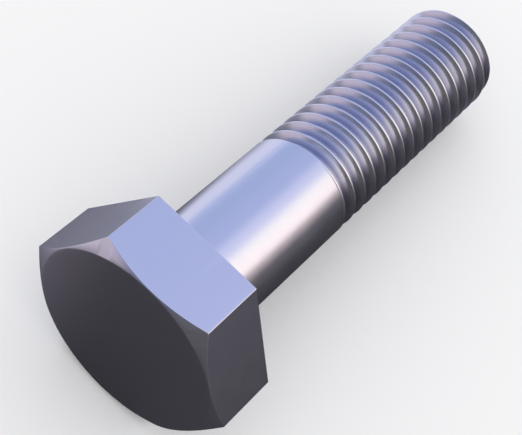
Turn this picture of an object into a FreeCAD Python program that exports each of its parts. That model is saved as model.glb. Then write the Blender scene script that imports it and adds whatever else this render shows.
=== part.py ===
import FreeCAD, Part

import math
import os

# Half threaded hex bolt, one forged and threaded piece of steel.
# It is drawn along +X with the centre of the face under the head at the origin,
# the head on the -X side and the thread on the +X side, and is then tipped as it
# lies on a table: on the lower edge of one flat of its head and on its point.
# All sizes are in millimetres and all angles in degrees.

# Sizes of the bolt
thread_diameter = 10.0
pitch = 1.5
shank_diameter = 10.0
length_under_head = 40.0
plain_length = 15.2
across_flats = 17.0
head_height = 6.2
head_face_diameter = 17.4
head_chamfer_angle = 30.0
# Small taper between the shank and the face under the head
neck_size = 0.4
point_diameter = 8.6
point_chamfer_angle = 40.0

# Form of the thread: a right-hand ridge with 60 degree flanks
flank_angle = 30.0
crest_share = 1.0 / 8.0
root_share = 1.0 / 4.0
# Where the groove meets the end of the plain shank, turned about the axis from straight down
groove_angle = -15.75


def thread_depth():
    """Depth of the groove between its flat crest and its flat root."""
    sharp_width = pitch * (1.0 - crest_share - root_share)
    return sharp_width / 2.0 / math.tan(math.radians(flank_angle))


def point_taper():
    """Length of the chamfer that turns the thread down to its point."""
    drop = (thread_diameter - point_diameter) / 2.0
    return drop / math.tan(math.radians(point_chamfer_angle))


def turned(points):
    """Solid made by turning an outline of (along the axis, radius) points round the X axis."""
    corners = [FreeCAD.Vector(along, radius, 0) for along, radius in points]
    outline = Part.makePolygon(corners + corners[:1])
    return Part.Face(outline).revolve(FreeCAD.Vector(), FreeCAD.Vector(1, 0, 0), 360)


def hex_head():
    """Hexagonal block whose corners are turned off at the end face."""
    corner_radius = across_flats / 2.0 / math.cos(math.radians(30.0))
    corners = []
    for side in range(6):
        # A flat faces straight down, so that the head lies on it.
        angle = math.radians(60.0 * side)
        corners.append(
            FreeCAD.Vector(
                -head_height, corner_radius * math.cos(angle), corner_radius * math.sin(angle)
            )
        )
    block = Part.Face(Part.makePolygon(corners + corners[:1])).extrude(
        FreeCAD.Vector(head_height, 0, 0)
    )
    face_radius = head_face_diameter / 2.0
    rise = (corner_radius - face_radius) * math.tan(math.radians(head_chamfer_angle))
    blank = turned(
        [
            (-head_height, 0.0),
            (-head_height, face_radius),
            (-head_height + rise, corner_radius),
            (0.0, corner_radius),
            (0.0, 0.0),
        ]
    )
    return block.common(blank)


def blank():
    """Plain shank with the small taper that joins it to the head, reaching into the head."""
    radius = shank_diameter / 2.0
    inside_head = -head_height / 2.0
    return turned(
        [
            (inside_head, 0.0),
            (inside_head, radius + neck_size),
            (0.0, radius + neck_size),
            (neck_size, radius),
            (plain_length, radius),
            (plain_length, 0.0),
        ]
    )


def helix(start, turns):
    """Right-hand helix along +X, joined from single turns, on the thread's outer diameter."""
    edges = []
    for turn in range(turns):
        single = Part.makeHelix(pitch, pitch, thread_diameter / 2.0)
        single.translate(FreeCAD.Vector(0, 0, pitch * turn))
        edges.extend(single.Edges)
    path = Part.Wire(edges)
    path.rotate(FreeCAD.Vector(), FreeCAD.Vector(0, 1, 0), 90)
    path.rotate(FreeCAD.Vector(), FreeCAD.Vector(1, 0, 0), groove_angle)
    path.translate(FreeCAD.Vector(start, 0, 0))
    return path


def groove():
    """Solid of the thread's groove, which starts and ends beyond the threaded length."""
    depth = thread_depth()
    spread = math.tan(math.radians(flank_angle))
    root_half = pitch * root_share / 2.0
    crest_half = pitch * crest_share / 2.0
    # The cutter stands a little proud of the crests, by less than would join its turns.
    proud = crest_half / spread / 3.0
    mouth_half = root_half + (depth + proud) * spread
    turns = math.ceil((length_under_head - plain_length) / pitch) + 3
    path = helix(plain_length - 2.0 * pitch, turns)
    first = path.OrderedVertexes[0].Point
    along = FreeCAD.Vector(1, 0, 0)
    outward = FreeCAD.Vector(0, first.y, first.z).normalize()
    corners = [
        first - along * root_half - outward * depth,
        first + along * root_half - outward * depth,
        first + along * mouth_half + outward * proud,
        first - along * mouth_half + outward * proud,
    ]
    profile = Part.makePolygon(corners + corners[:1])
    return path.makePipeShell([profile], True, True)


def threaded_end():
    """Threaded rod from the end of the plain shank to the chamfered point."""
    radius = thread_diameter / 2.0
    rod = turned(
        [
            (plain_length, 0.0),
            (plain_length, radius),
            (length_under_head - point_taper(), radius),
            (length_under_head, point_diameter / 2.0),
            (length_under_head, 0.0),
        ]
    )
    return rod.cut(groove())


def resting_tilt():
    """Angle between the axis and the table once the head's flat and the last crest touch it."""
    crest_half = pitch * crest_share / 2.0
    end = length_under_head - point_taper()
    first_crest = plain_length - pitch * groove_angle / 360.0 + pitch / 2.0
    crests_after = math.floor((end - first_crest + crest_half) / pitch)
    last_crest = first_crest + pitch * crests_after + crest_half
    touch = min(end, last_crest)
    return math.degrees(math.atan2((across_flats - thread_diameter) / 2.0, touch))


def bolt():
    """The whole bolt as one solid, lying on its head's lowest flat edge and its thread."""
    whole = threaded_end().fuse(blank()).fuse(hex_head()).removeSplitter().Solids[0]
    whole.rotate(FreeCAD.Vector(), FreeCAD.Vector(0, 1, 0), resting_tilt())
    return whole


os.makedirs("parts", exist_ok=True)
bolt().exportStep("parts/hex_bolt.step")
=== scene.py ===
"""Looks of a half threaded hex bolt at rest: its fine surface, its steel, the light and camera."""

import logging
import math
from dataclasses import dataclass
from enum import Enum

import bmesh
import bpy
from mathutils import Matrix, Vector

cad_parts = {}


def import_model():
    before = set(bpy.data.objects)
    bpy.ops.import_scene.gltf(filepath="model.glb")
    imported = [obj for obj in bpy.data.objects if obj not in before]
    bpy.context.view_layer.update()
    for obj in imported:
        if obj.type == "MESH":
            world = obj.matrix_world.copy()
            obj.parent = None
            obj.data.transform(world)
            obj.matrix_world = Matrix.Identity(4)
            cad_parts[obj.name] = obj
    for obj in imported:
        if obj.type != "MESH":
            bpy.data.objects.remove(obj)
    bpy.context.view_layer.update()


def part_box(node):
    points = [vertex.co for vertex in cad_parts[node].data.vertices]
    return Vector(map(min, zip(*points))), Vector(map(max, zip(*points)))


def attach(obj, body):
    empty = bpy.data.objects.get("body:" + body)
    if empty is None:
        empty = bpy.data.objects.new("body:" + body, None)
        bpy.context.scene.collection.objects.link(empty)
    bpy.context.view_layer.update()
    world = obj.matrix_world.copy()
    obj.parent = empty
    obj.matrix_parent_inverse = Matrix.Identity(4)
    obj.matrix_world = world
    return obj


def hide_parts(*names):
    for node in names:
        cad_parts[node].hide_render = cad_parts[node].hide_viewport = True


logger = logging.getLogger("hex_bolt_scene")

Tone = tuple[float, float, float]
Colour = tuple[float, float, float, float]
Triple = tuple[float, float, float]
Rows = list[tuple[float, float]]

MM = 0.001
HEX_SIDES = 6
SIDE_ANGLE = 360.0 / HEX_SIDES
GROOVE_LAYER = "groove_depth"


class EdgeKind(Enum):
    """How strongly an edge of the head is rounded, as a share of the full rounding."""

    RIM = 1.0
    CORNER = 0.85


@dataclass(frozen=True)
class Span:
    """Two values that something runs between; the second may be the smaller one."""

    start: float
    end: float


UNIT = Span(0.0, 1.0)


@dataclass(frozen=True)
class BoltSizes:
    """Sizes of the bolt in millimetres.

    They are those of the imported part, apart from the head's end face, which is the photo's
    (the part has 8.7), and the taper under the head, which is a small fillet here. The slopes
    are rise over run and the tilt is in radians.
    """

    thread_radius: float = 5.0
    shank_radius: float = 5.0
    length: float = 40.0
    plain_length: float = 15.2
    across_flats: float = 17.0
    head_height: float = 6.2
    face_radius: float = 8.4
    chamfer_slope: float = math.tan(math.radians(30.0))
    neck: float = 0.4
    point_radius: float = 4.3
    point_slope: float = math.tan(math.radians(40.0))
    tilt: float = math.radians(5.179794)

    @property
    def taper(self) -> float:
        """Length of the point's chamfer.

        Returns:
            The length along the axis.
        """
        return (self.thread_radius - self.point_radius) / self.point_slope


@dataclass(frozen=True)
class ThreadForm:
    """Right-hand thread profile in millimetres, with softly rounded crest and root edges.

    The groove angle is in degrees, from straight down to where the groove's centre meets the
    end of the plain shank. The down angle is straight down, measured from +Y towards +Z. The
    corner steps place the mesh rows about each rounded edge.
    """

    pitch: float = 1.5
    root_half: float = 0.1875
    crest_half: float = 0.09375
    flank_slope: float = math.tan(math.radians(60.0))
    rounding: float = 0.035
    groove_angle: float = -15.75
    down_angle: float = -90.0
    root_row_share: float = 0.6
    corner_steps: tuple[float, ...] = (-1.0, -0.5, 0.0, 0.5, 1.0)

    @property
    def crest_edge(self) -> float:
        """Distance from the groove's centre to the edge of the crest.

        Returns:
            The distance along the axis.
        """
        return self.pitch / 2.0 - self.crest_half

    @property
    def depth(self) -> float:
        """Depth from crest to root.

        Returns:
            The depth across the axis.
        """
        return (self.pitch / 2.0 - self.root_half - self.crest_half) * self.flank_slope

    def climb(self, angle: float) -> float:
        """How far the groove has climbed along the axis since its start.

        Args:
            angle: angle about the axis in degrees, measured from +Y towards +Z.

        Returns:
            The distance, which grows by one pitch with each turn.
        """
        return self.pitch * (angle - self.down_angle - self.groove_angle) / 360.0

    def phase(self, along: float, angle: float, plain_length: float) -> float:
        """Distance from the nearest groove centre.

        Args:
            along: distance under the head.
            angle: angle about the axis in degrees, measured from +Y towards +Z.
            plain_length: where the thread starts.

        Returns:
            The distance, between zero and half the pitch.
        """
        centre = plain_length + self.climb(angle)
        turn = (along - centre) / self.pitch
        return abs(turn - round(turn)) * self.pitch

    def drop(self, phase: float) -> float:
        """Depth below the crest, with the flank's line clipped softly at crest and root.

        Args:
            phase: distance from the nearest groove centre.

        Returns:
            The depth, from zero on the crest to the full depth on the root.
        """
        depth = self.depth
        flank = (self.crest_edge - phase) * self.flank_slope
        soft = self.rounding * self.flank_slope
        if flank <= -soft:
            return 0.0
        if flank < soft:
            return (flank + soft) ** 2 / (4.0 * soft)
        if flank <= depth - soft:
            return flank
        if flank < depth + soft:
            return depth - (depth + soft - flank) ** 2 / (4.0 * soft)
        return depth

    def row_phases(self) -> list[float]:
        """Places of the mesh rows over one pitch, from groove centre to groove centre.

        Returns:
            Distances from the first groove's centre, closest together at the rounded edges.
        """
        edge = self.crest_edge
        root = self.root_half
        half = [0.0, root * self.root_row_share]
        half += [root + self.rounding * step for step in self.corner_steps]
        half.append(root + (edge - root) / 2.0)
        half += [edge + self.rounding * step for step in self.corner_steps]
        mirrored = [self.pitch - place for place in reversed(half[1:])]
        return half + mirrored


@dataclass(frozen=True)
class SteelFinish:
    """Smooth bright steel.

    The grain is how much the roughness varies over the mottle. The edge span holds the pointiness
    between which wear sets in, the groove span the shares of depth between which painted shade
    darkens the grooves.
    """

    colour: Colour = (0.80, 0.80, 0.83, 1.0)
    roughness: float = 0.21
    grain: float = 0.05
    mottle_scale: float = 900.0
    mottle_detail: float = 4.0
    mottle_roughness: float = 0.55
    mottle_span: Span = Span(0.3, 0.7)
    worn_colour: Colour = (0.93, 0.92, 0.93, 1.0)
    wear: float = 0.35
    edge_span: Span = Span(0.53, 0.62)
    # Painted shade: a blue-grey tint that darkens the thread's grooves by their depth, standing in
    # for the shade down in them.
    groove_painted_shade: Colour = (0.60, 0.62, 0.72, 1.0)
    groove_shade_span: Span = Span(0.2, 0.8)


@dataclass(frozen=True)
class FloorFinish:
    """Plain pale floor, and what the steel mirrors of it.

    The mirrored floor is painted: painted shade close to the bolt, painted light on its left (+Y),
    less so beside the head, and faint painted light on its right. The spans are the places, in
    metres along X or Y, between which each painted light grows. The left span turns with X by the
    slant.
    """

    colour: Colour = (0.94, 0.94, 0.95, 1.0)
    roughness: float = 0.9
    specular: float = 0.1
    # Painted reflection: the tones below are painted shade near the bolt and painted light further
    # out, seen only in the steel.
    near_painted_shade: Colour = (0.055, 0.052, 0.062, 1.0)
    far_painted_light: Colour = (0.73, 0.75, 0.98, 1.0)
    behind_painted_light: Colour = (0.62, 0.55, 0.68, 1.0)
    left_span: Span = Span(-0.002, 0.036)
    left_slant: float = 0.4
    ahead_span: Span = Span(0.009, 0.021)
    behind_span: Span = Span(-0.002, -0.014)
    beside_head_painted_shade: float = 0.34
    right_span: Span = Span(-0.014, -0.045)
    right_level: float = 0.045


@dataclass(frozen=True)
class ToneStop:
    """One tone of the surround and where it stands."""

    place: float
    tone: Tone


@dataclass(frozen=True)
class Studio:
    """Soft surround, plain for the view and the floor, toned where the steel mirrors it.

    The round stops stand at turns about the bolt's axis, in degrees from +Y over the top to -Y.
    The back stops colour what lies behind the head, by how far a direction points to +Y. They
    give way to the round stops over the back span, and those to the front tone over the front
    span, both by how far a direction points to +X.
    """

    strength: float = 1.0
    plain_tone: Colour = (1.0, 1.0, 1.0, 1.0)
    round_reach: float = 180.0
    round_stops: tuple[ToneStop, ...] = (
        ToneStop(-90.0, (0.06, 0.06, 0.07)),
        ToneStop(-35.0, (0.60, 0.60, 0.75)),
        ToneStop(-12.0, (0.60, 0.66, 0.98)),
        ToneStop(26.0, (0.39, 0.48, 0.80)),
        ToneStop(76.0, (0.44, 0.51, 0.86)),
        ToneStop(103.0, (0.70, 0.73, 1.04)),
        ToneStop(130.0, (1.20, 1.14, 1.15)),
        ToneStop(153.0, (1.30, 1.15, 1.16)),
        ToneStop(170.0, (0.43, 0.36, 0.39)),
        ToneStop(180.0, (0.22, 0.19, 0.21)),
    )
    back_reach: float = 1.0
    back_stops: tuple[ToneStop, ...] = (
        ToneStop(-0.35, (0.125, 0.120, 0.135)),
        ToneStop(-0.05, (0.100, 0.105, 0.150)),
        ToneStop(0.12, (0.115, 0.135, 0.240)),
        ToneStop(0.34, (0.160, 0.175, 0.290)),
        ToneStop(0.55, (0.580, 0.520, 0.680)),
    )
    back_span: Span = Span(-0.55, 0.1)
    front_tone: Colour = (0.62, 0.64, 0.84, 1.0)
    front_span: Span = Span(0.72, 0.93)


@dataclass(frozen=True)
class View:
    """Camera pose in the part's own frame, in metres, and its lens."""

    eye: Triple = (-0.03846, -0.01302, 0.08456)
    right: Triple = (0.64213, -0.72195, 0.2578)
    forward: Triple = (0.49373, 0.13222, -0.8595)
    focal_px: float = 1203.8
    width_px: float = 522.0
    sensor_width: float = 36.0
    clip_start: float = 0.005


@dataclass
class NodeTree:
    """Helper that adds nodes and links to a shader tree.

    A value given to it is either an output socket, which is linked, or a number or colour, which
    is set on the input socket.
    """

    tree: bpy.types.NodeTree

    def add(self, kind: str, **settings: object) -> bpy.types.Node:
        """Adds a node and sets its attributes.

        Args:
            kind: the node's type name.
            settings: attribute values.

        Returns:
            The new node.
        """
        node = self.tree.nodes.new(kind)
        for name, value in settings.items():
            setattr(node, name, value)
        return node

    def feed(
        self, target: bpy.types.NodeSocket, value: bpy.types.NodeSocket | Colour | float
    ) -> None:
        """Links an output socket to an input socket, or sets a value on it.

        Args:
            target: the input socket.
            value: the output socket or the value.
        """
        if isinstance(value, bpy.types.NodeSocket):
            self.tree.links.new(value, target)
        else:
            target.default_value = value

    def coordinates(self, kind: str) -> list[bpy.types.NodeSocket]:
        """Adds a place to read, split into its three parts.

        Args:
            kind: the kind of place, such as Object.

        Returns:
            The sockets of X, Y and Z.
        """
        place = self.add("ShaderNodeTexCoord")
        split = self.add("ShaderNodeSeparateXYZ")
        self.feed(split.inputs["Vector"], place.outputs[kind])
        return [split.outputs[axis] for axis in "XYZ"]

    def calculate(
        self, operation: str, *values: bpy.types.NodeSocket | float
    ) -> bpy.types.NodeSocket:
        """Adds a calculation.

        Args:
            operation: the calculation's name.
            values: its inputs, in order.

        Returns:
            The result's socket.
        """
        node = self.add("ShaderNodeMath", operation=operation)
        for target, value in zip(node.inputs, values):
            self.feed(target, value)
        return node.outputs["Value"]

    def remap(
        self,
        value: bpy.types.NodeSocket,
        source: Span,
        result: Span = UNIT,
        easing: str = "LINEAR",
    ) -> bpy.types.NodeSocket:
        """Adds a node that turns one span of values into another and clips at its ends.

        Args:
            value: the value.
            source: the span that is read.
            result: the span that is given.
            easing: how the value runs between the ends.

        Returns:
            The result's socket.
        """
        node = self.add("ShaderNodeMapRange", interpolation_type=easing)
        self.feed(node.inputs["Value"], value)
        self.feed(node.inputs["From Min"], source.start)
        self.feed(node.inputs["From Max"], source.end)
        self.feed(node.inputs["To Min"], result.start)
        self.feed(node.inputs["To Max"], result.end)
        return node.outputs["Result"]

    def mix(
        self,
        factor: bpy.types.NodeSocket,
        first: bpy.types.NodeSocket | Colour,
        second: bpy.types.NodeSocket | Colour,
        blend: str = "MIX",
    ) -> bpy.types.NodeSocket:
        """Adds a mix of two colours.

        Args:
            factor: the share of the second colour.
            first: the first colour.
            second: the second colour.
            blend: how the second colour acts on the first.

        Returns:
            The result's socket.
        """
        node = self.add("ShaderNodeMix", data_type="RGBA", blend_type=blend)
        self.feed(node.inputs["Factor"], factor)
        self.feed(node.inputs["A"], first)
        self.feed(node.inputs["B"], second)
        return node.outputs["Result"]

    def ramp(
        self, value: bpy.types.NodeSocket, stops: tuple[ToneStop, ...], reach: float
    ) -> bpy.types.NodeSocket:
        """Adds a ramp of tones.

        Args:
            value: the value, from zero at minus the reach to one at the reach.
            stops: the tones, in the order of their places.
            reach: the highest place that a stop can have.

        Returns:
            The colour's socket.
        """
        node = self.add("ShaderNodeValToRGB")
        node.color_ramp.interpolation = "EASE"
        elements = node.color_ramp.elements
        middle = 0.5
        while len(elements) < len(stops):
            elements.new(middle)
        for element, stop in zip(elements, stops):
            element.position = (stop.place + reach) / (2.0 * reach)
            element.color = (*stop.tone, 1.0)
        self.feed(node.inputs["Fac"], value)
        return node.outputs["Color"]


@dataclass
class MaterialLibrary:
    """Makes the materials of the bolt and of the floor."""

    steel_finish: SteelFinish
    floor_finish: FloorFinish

    def principled(self, name: str) -> tuple[bpy.types.Material, NodeTree, bpy.types.Node]:
        """Starts a material.

        Args:
            name: the material's name.

        Returns:
            The material, its node tree and its surface node.
        """
        material = bpy.data.materials.new(name)
        material.use_nodes = True
        surface = material.node_tree.nodes["Principled BSDF"]
        return material, NodeTree(material.node_tree), surface

    def soft_mottle(self) -> bpy.types.NodeTree:
        """Node group that gives a soft mottle between zero and one.

        Returns:
            The group, with a Scale input and a Value output.
        """
        finish = self.steel_finish
        group = bpy.data.node_groups.new("soft_mottle", "ShaderNodeTree")
        group.interface.new_socket("Scale", in_out="INPUT", socket_type="NodeSocketFloat")
        group.interface.new_socket("Value", in_out="OUTPUT", socket_type="NodeSocketFloat")
        nodes = NodeTree(group)
        inputs = nodes.add("NodeGroupInput")
        outputs = nodes.add("NodeGroupOutput")
        place = nodes.add("ShaderNodeTexCoord")
        noise = nodes.add("ShaderNodeTexNoise")
        nodes.feed(noise.inputs["Vector"], place.outputs["Object"])
        nodes.feed(noise.inputs["Scale"], inputs.outputs["Scale"])
        nodes.feed(noise.inputs["Detail"], finish.mottle_detail)
        nodes.feed(noise.inputs["Roughness"], finish.mottle_roughness)
        mottle = nodes.remap(noise.outputs["Fac"], finish.mottle_span)
        nodes.feed(outputs.inputs["Value"], mottle)
        return group

    def steel(self) -> bpy.types.Material:
        """Bright steel with slightly worn edges, painted shade darkening its grooves and a faintly
        uneven polish.

        Returns:
            The material.
        """
        finish = self.steel_finish
        material, nodes, surface = self.principled("bright_steel")
        mottle = nodes.add("ShaderNodeGroup", node_tree=self.soft_mottle())
        nodes.feed(mottle.inputs["Scale"], finish.mottle_scale)
        smoothest = finish.roughness - finish.grain / 2.0
        roughest = finish.roughness + finish.grain / 2.0
        polish = nodes.remap(mottle.outputs["Value"], UNIT, Span(smoothest, roughest))
        shape = nodes.add("ShaderNodeNewGeometry")
        worn = nodes.remap(shape.outputs["Pointiness"], finish.edge_span, Span(0.0, finish.wear))
        metal = nodes.mix(worn, finish.colour, finish.worn_colour)
        # Painted shade: the grooves' colour is darkened by their depth.
        depth = nodes.add("ShaderNodeAttribute", attribute_name=GROOVE_LAYER)
        shade_in_groove = nodes.remap(depth.outputs["Fac"], finish.groove_shade_span, easing="SMOOTHSTEP")
        shaded_metal = nodes.mix(shade_in_groove, metal, finish.groove_painted_shade, "MULTIPLY")
        nodes.feed(surface.inputs["Metallic"], 1.0)
        nodes.feed(surface.inputs["Roughness"], polish)
        nodes.feed(surface.inputs["Base Color"], shaded_metal)
        return material

    def floor(self) -> bpy.types.Material:
        """Pale floor, with painted light and shade where the steel mirrors it.

        Returns:
            The material.
        """
        finish = self.floor_finish
        material, nodes, surface = self.principled("pale_floor")
        # Painted reflection: painted shade close to the bolt and beside the head, painted light
        # further out.
        x, y, _z = nodes.coordinates("Object")
        slanted = nodes.calculate("MULTIPLY_ADD", x, finish.left_slant, y)
        left = nodes.remap(slanted, finish.left_span, easing="SMOOTHSTEP")
        ahead = nodes.remap(x, finish.ahead_span, easing="SMOOTHSTEP")
        behind = nodes.remap(x, finish.behind_span, easing="SMOOTHSTEP")
        clear = nodes.calculate("MAXIMUM", ahead, behind)
        shade = nodes.remap(clear, UNIT, Span(finish.beside_head_painted_shade, 1.0))
        left_light = nodes.calculate("MULTIPLY", left, shade)
        dim = Span(0.0, finish.right_level)
        right_light = nodes.remap(y, finish.right_span, dim, "SMOOTHSTEP")
        light = nodes.calculate("MAXIMUM", left_light, right_light)
        painted_lit_tone = nodes.mix(behind, finish.far_painted_light, finish.behind_painted_light)
        painted_reflection = nodes.mix(light, finish.near_painted_shade, painted_lit_tone)
        rays = nodes.add("ShaderNodeLightPath")
        # Only glossy rays see the painted reflection; all other rays see the plain floor colour.
        shown = nodes.mix(rays.outputs["Is Glossy Ray"], finish.colour, painted_reflection)
        nodes.feed(surface.inputs["Roughness"], finish.roughness)
        nodes.feed(surface.inputs["Specular IOR Level"], finish.specular)
        nodes.feed(surface.inputs["Base Color"], shown)
        return material


@dataclass
class BoltSurface:
    """Fine mesh of the whole bolt, made as columns of rows round its axis.

    Shares place rows between the axis and an edge, or along the plain shank. The thread's rows
    follow the groove up to half a pitch before the point's chamfer and are level from there on.
    """

    sizes: BoltSizes
    thread: ThreadForm
    columns: int = 144
    face_shares: tuple[float, ...] = (0.25, 0.5, 0.75, 0.93)
    seat_share: float = 0.85
    neck_steps: tuple[float, ...] = (30.0, 60.0)
    shank_shares: tuple[float, ...] = (0.3, 0.7, 1.0)
    lead_pitches: float = 2.0
    level_pitches: float = 0.5
    end_steps: int = 48
    end_shares: tuple[float, ...] = (0.9, 0.6, 0.3)
    same_radius: float = 1e-6
    merge_distance: float = 1e-7

    @property
    def head_count(self) -> int:
        """Number of rows that the head and plain shank have.

        Returns:
            The number, which is the same in every direction.
        """
        return len(self.head_rows(0.0))

    def hex_radius(self, angle: float) -> float:
        """Distance from the axis to the hexagon's side.

        Args:
            angle: angle about the axis in degrees, zero at a corner.

        Returns:
            The distance in millimetres.
        """
        offset = angle % SIDE_ANGLE - SIDE_ANGLE / 2.0
        return self.sizes.across_flats / 2.0 / math.cos(math.radians(offset))

    def head_rows(self, angle: float) -> Rows:
        """Profile of the head and plain shank in one direction.

        Args:
            angle: angle about the axis in degrees.

        Returns:
            (along, radius) pairs in millimetres, from the end face to the shank's end.
        """
        sizes = self.sizes
        side = self.hex_radius(angle)
        rim = min(sizes.face_radius, side)
        rise = (side - rim) * sizes.chamfer_slope
        top = -sizes.head_height
        rows = [(top, rim * share) for share in self.face_shares]
        rows += [(top, rim), (top + rise, side), (0.0, side)]
        rows += [(0.0, side * self.seat_share), (0.0, sizes.shank_radius + sizes.neck)]
        for step in self.neck_steps:
            turn = math.radians(step)
            along = sizes.neck * (1.0 - math.cos(turn))
            radius = sizes.shank_radius + sizes.neck * (1.0 - math.sin(turn))
            rows.append((along, radius))
        rows.append((sizes.neck, sizes.shank_radius))
        span = sizes.plain_length - sizes.neck
        rows += [(sizes.neck + span * share, sizes.shank_radius) for share in self.shank_shares]
        return rows

    def thread_radius(self, along: float, angle: float) -> float:
        """Radius of the threaded end at one place.

        Args:
            along: distance under the head in millimetres.
            angle: angle about the axis in degrees.

        Returns:
            The radius in millimetres, under the point's chamfer where that is smaller.
        """
        sizes = self.sizes
        phase = self.thread.phase(along, angle, sizes.plain_length)
        radius = sizes.thread_radius - self.thread.drop(phase)
        past = along - (sizes.length - sizes.taper)
        limit = sizes.thread_radius - max(0.0, past) * sizes.point_slope
        return min(radius, limit)

    def groove_share(self, along: float, radius: float, angle: float) -> float:
        """How deep in the thread's groove one place lies.

        Args:
            along: distance under the head in millimetres.
            radius: distance from the axis in millimetres.
            angle: angle about the axis in degrees.

        Returns:
            Zero on the crest, the point's chamfer and the end face, one on the root.
        """
        drop = self.thread.drop(self.thread.phase(along, angle, self.sizes.plain_length))
        on_thread = abs(self.sizes.thread_radius - drop - radius) < self.same_radius
        return drop / self.thread.depth if on_thread else 0.0

    def thread_rows(self, angle: float) -> Rows:
        """Profile of the threaded end in one direction.

        Args:
            angle: angle about the axis in degrees.

        Returns:
            (along, radius) pairs in millimetres; rows beyond either end are held at that end.
        """
        sizes = self.sizes
        pitch = self.thread.pitch
        level_start = sizes.length - sizes.taper - self.level_pitches * pitch
        first = sizes.plain_length - self.lead_pitches * pitch
        centre = first + self.thread.climb(angle)
        turns = math.ceil((sizes.length - first) / pitch) + 1
        places = [
            centre + pitch * turn + phase
            for turn in range(turns)
            for phase in self.thread.row_phases()[:-1]
        ]
        held = [min(max(place, sizes.plain_length), level_start) for place in places]
        held += [
            level_start + (sizes.length - level_start) * step / self.end_steps
            for step in range(1, self.end_steps + 1)
        ]
        rows = [(along, self.thread_radius(along, angle)) for along in held]
        last = rows[-1][1]
        return rows + [(sizes.length, last * share) for share in self.end_shares]

    def next_rows(self, column: int, row_count: int) -> list[int]:
        """Rows of the next column that each row of a column joins.

        The thread's rows climb by one turn over all columns, so the last column joins rows that
        lie one turn further along the first.

        Args:
            column: the column.
            row_count: how many rows the column has.

        Returns:
            The next column's row for each row.
        """
        if column < self.columns - 1:
            return list(range(row_count))
        turn = len(self.thread.row_phases()) - 1
        thread_start = self.head_count
        thread_end = row_count - self.end_steps - len(self.end_shares)
        joined = []
        for row in range(row_count):
            climbs = thread_start <= row < thread_end
            joined.append(min(row + turn, thread_end - 1) if climbs else row)
        return joined

    def placed(self, along: float, radius: float, spin: float) -> Vector:
        """One place of the bolt in the part's frame, tipped as the bolt lies.

        Args:
            along: distance under the head in millimetres.
            radius: distance from the axis in millimetres.
            spin: angle about the axis in radians.

        Returns:
            The place in metres.
        """
        tip = Matrix.Rotation(self.sizes.tilt, 4, "Y")
        return tip @ Vector((along, radius * math.cos(spin), radius * math.sin(spin))) * MM

    def add_column(
        self, mesh: bmesh.types.BMesh, depth: bmesh.types.BMLayerItem, column: int
    ) -> list[bmesh.types.BMVert]:
        """Adds the vertices of one column.

        Args:
            mesh: the bolt's mesh.
            depth: the layer of groove depths.
            column: the column.

        Returns:
            The vertices by row.
        """
        angle = 360.0 * column / self.columns
        spin = math.radians(angle)
        line = [mesh.verts.new(self.placed(*row, spin)) for row in self.head_rows(angle)]
        for along, radius in self.thread_rows(angle):
            vertex = mesh.verts.new(self.placed(along, radius, spin))
            vertex[depth] = self.groove_share(along, radius, angle)
            line.append(vertex)
        return line

    def add_faces(
        self,
        mesh: bmesh.types.BMesh,
        grid: list[list[bmesh.types.BMVert]],
        start: bmesh.types.BMVert,
        end: bmesh.types.BMVert,
    ) -> None:
        """Joins the columns into a closed surface.

        Args:
            mesh: the bolt's mesh.
            grid: the vertices by column and row.
            start: the vertex in the middle of the head's end face.
            end: the vertex in the middle of the point.
        """
        for column, here in enumerate(grid):
            there = grid[(column + 1) % self.columns]
            mesh.faces.new((start, there[0], here[0]))
            mesh.faces.new((end, here[-1], there[-1]))
            joined = self.next_rows(column, len(here))
            for row in range(len(here) - 1):
                beside, beyond = joined[row], joined[row + 1]
                if beside != beyond:
                    mesh.faces.new((here[row], there[beside], there[beyond], here[row + 1]))

    def weigh_edges(
        self,
        mesh: bmesh.types.BMesh,
        weight: bmesh.types.BMLayerItem,
        grid: list[list[bmesh.types.BMVert]],
    ) -> None:
        """Marks the head's edges that are softly rounded.

        Args:
            mesh: the bolt's mesh.
            weight: the layer of rounding weights.
            grid: the vertices by column and row.
        """
        rim = len(self.face_shares)
        chamfer, seat = rim + 1, rim + 2
        kinds = {rim: EdgeKind.RIM, chamfer: EdgeKind.CORNER, seat: EdgeKind.RIM}
        for column, here in enumerate(grid):
            there = grid[(column + 1) % self.columns]
            for row, kind in kinds.items():
                edge = mesh.edges.get((here[row], there[row]))
                edge[weight] = kind.value
            if column % (self.columns // HEX_SIDES) == 0:
                edge = mesh.edges.get((here[chamfer], here[seat]))
                edge[weight] = EdgeKind.CORNER.value

    def build(self) -> bpy.types.Object:
        """Makes the bolt's mesh object in the part's frame.

        Returns:
            The object, tipped as the bolt lies.
        """
        mesh = bmesh.new()
        weight = mesh.edges.layers.float.new("bevel_weight_edge")
        depth = mesh.verts.layers.float.new(GROOVE_LAYER)
        grid = [self.add_column(mesh, depth, column) for column in range(self.columns)]
        start = mesh.verts.new(self.placed(-self.sizes.head_height, 0.0, 0.0))
        end = mesh.verts.new(self.placed(self.sizes.length, 0.0, 0.0))
        self.add_faces(mesh, grid, start, end)
        self.weigh_edges(mesh, weight, grid)
        bmesh.ops.remove_doubles(mesh, verts=mesh.verts, dist=self.merge_distance)
        bmesh.ops.recalc_face_normals(mesh, faces=mesh.faces)
        data = bpy.data.meshes.new("hex_bolt_surface")
        mesh.to_mesh(data)
        mesh.free()
        for face in data.polygons:
            face.use_smooth = True
        bolt = bpy.data.objects.new("hex_bolt_surface", data)
        bpy.context.scene.collection.objects.link(bolt)
        logger.info("bolt surface: %d vertices", len(data.vertices))
        return bolt


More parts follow.
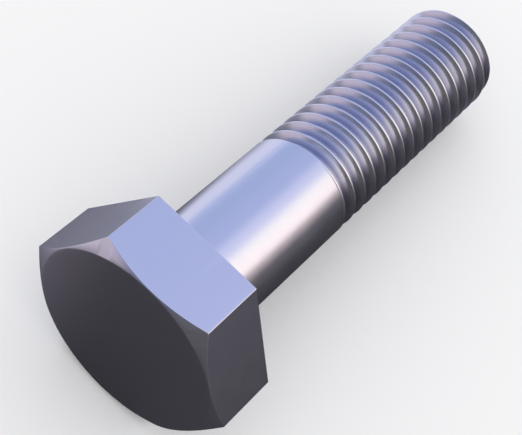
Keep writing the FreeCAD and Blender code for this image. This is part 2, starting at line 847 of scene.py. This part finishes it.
@dataclass
class Bolt:
    """The bolt: its surface and the soft rounding of its edges, in millimetres."""

    surface: BoltSurface
    edge_width: float = 0.10
    edge_segments: int = 3
    flat_weight: int = 80

    def build(self, library: MaterialLibrary) -> bpy.types.Object:
        """Makes the bolt and hands it to the frame.

        Args:
            library: where materials come from.

        Returns:
            The bolt object.
        """
        bolt = self.surface.build()
        bolt.data.materials.append(library.steel())
        rounding = bolt.modifiers.new("edge_rounding", "BEVEL")
        rounding.limit_method = "WEIGHT"
        rounding.width = self.edge_width * MM
        rounding.segments = self.edge_segments
        flats = bolt.modifiers.new("flat_faces", "WEIGHTED_NORMAL")
        flats.weight = self.flat_weight
        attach(bolt, "root")
        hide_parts("hex_bolt")
        logger.info("bolt placed")
        return bolt


@dataclass
class Stage:
    """Floor, surround and camera. Heights and reach are in metres."""

    studio: Studio
    view: View
    floor_height: float
    floor_reach: float = 3.0

    def build_floor(self, library: MaterialLibrary) -> bpy.types.Object:
        """Lays the pale floor that the bolt rests on.

        Args:
            library: where materials come from.

        Returns:
            The floor object.
        """
        reach = self.floor_reach
        corners = [
            (-reach, -reach, 0.0),
            (reach, -reach, 0.0),
            (reach, reach, 0.0),
            (-reach, reach, 0.0),
        ]
        data = bpy.data.meshes.new("floor")
        data.from_pydata(corners, [], [(0, 1, 2, 3)])
        floor = bpy.data.objects.new("floor", data)
        floor.location = (0.0, 0.0, self.floor_height)
        floor.data.materials.append(library.floor())
        bpy.context.scene.collection.objects.link(floor)
        logger.info("floor at %.3f mm", self.floor_height / MM)
        return floor

    def build_surround(self) -> bpy.types.World:
        """Sets the surround: plain for the floor and the view, toned where steel mirrors it.

        Returns:
            The surround.
        """
        studio = self.studio
        world = bpy.data.worlds.new("studio")
        bpy.context.scene.world = world
        world.use_nodes = True
        nodes = NodeTree(world.node_tree)
        x, y, z = nodes.coordinates("Generated")
        turn = nodes.remap(nodes.calculate("ARCTAN2", z, y), Span(-math.pi, math.pi))
        side = nodes.remap(y, Span(-1.0, 1.0))
        round_axis = nodes.ramp(turn, studio.round_stops, studio.round_reach)
        behind = nodes.ramp(side, studio.back_stops, studio.back_reach)
        past_back = nodes.remap(x, studio.back_span, easing="SMOOTHSTEP")
        into_front = nodes.remap(x, studio.front_span, easing="SMOOTHSTEP")
        toned = nodes.mix(past_back, behind, round_axis)
        closed = nodes.mix(into_front, toned, studio.front_tone)
        rays = nodes.add("ShaderNodeLightPath")
        shown = nodes.mix(rays.outputs["Is Glossy Ray"], studio.plain_tone, closed)
        background = world.node_tree.nodes["Background"]
        nodes.feed(background.inputs["Strength"], studio.strength)
        nodes.feed(background.inputs["Color"], shown)
        logger.info("surround set")
        return world

    def build_camera(self) -> bpy.types.Object:
        """Places the camera.

        Returns:
            The camera object.
        """
        view = self.view
        lens = bpy.data.cameras.new("camera")
        lens.sensor_fit = "HORIZONTAL"
        lens.sensor_width = view.sensor_width
        lens.lens = view.focal_px * view.sensor_width / view.width_px
        lens.clip_start = view.clip_start
        camera = bpy.data.objects.new("camera", lens)
        back = -Vector(view.forward).normalized()
        right = Vector(view.right).normalized()
        up = back.cross(right).normalized()
        right = up.cross(back).normalized()
        turn = Matrix((right, up, back)).transposed()
        camera.matrix_world = Matrix.Translation(Vector(view.eye)) @ turn.to_4x4()
        bpy.context.scene.collection.objects.link(camera)
        bpy.context.scene.camera = camera
        logger.info("camera placed")
        return camera


def main() -> None:
    """Builds the bolt's looks, the stage and the camera, in that order."""
    logging.basicConfig(level=logging.INFO, format="%(name)s: %(message)s")
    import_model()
    low, _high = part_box("hex_bolt")
    bpy.context.scene.view_settings.view_transform = "Standard"
    library = MaterialLibrary(SteelFinish(), FloorFinish())
    Bolt(BoltSurface(BoltSizes(), ThreadForm())).build(library)
    stage = Stage(Studio(), View(), low.z)
    stage.build_floor(library)
    stage.build_surround()
    stage.build_camera()


if __name__ == "__main__":
    main()
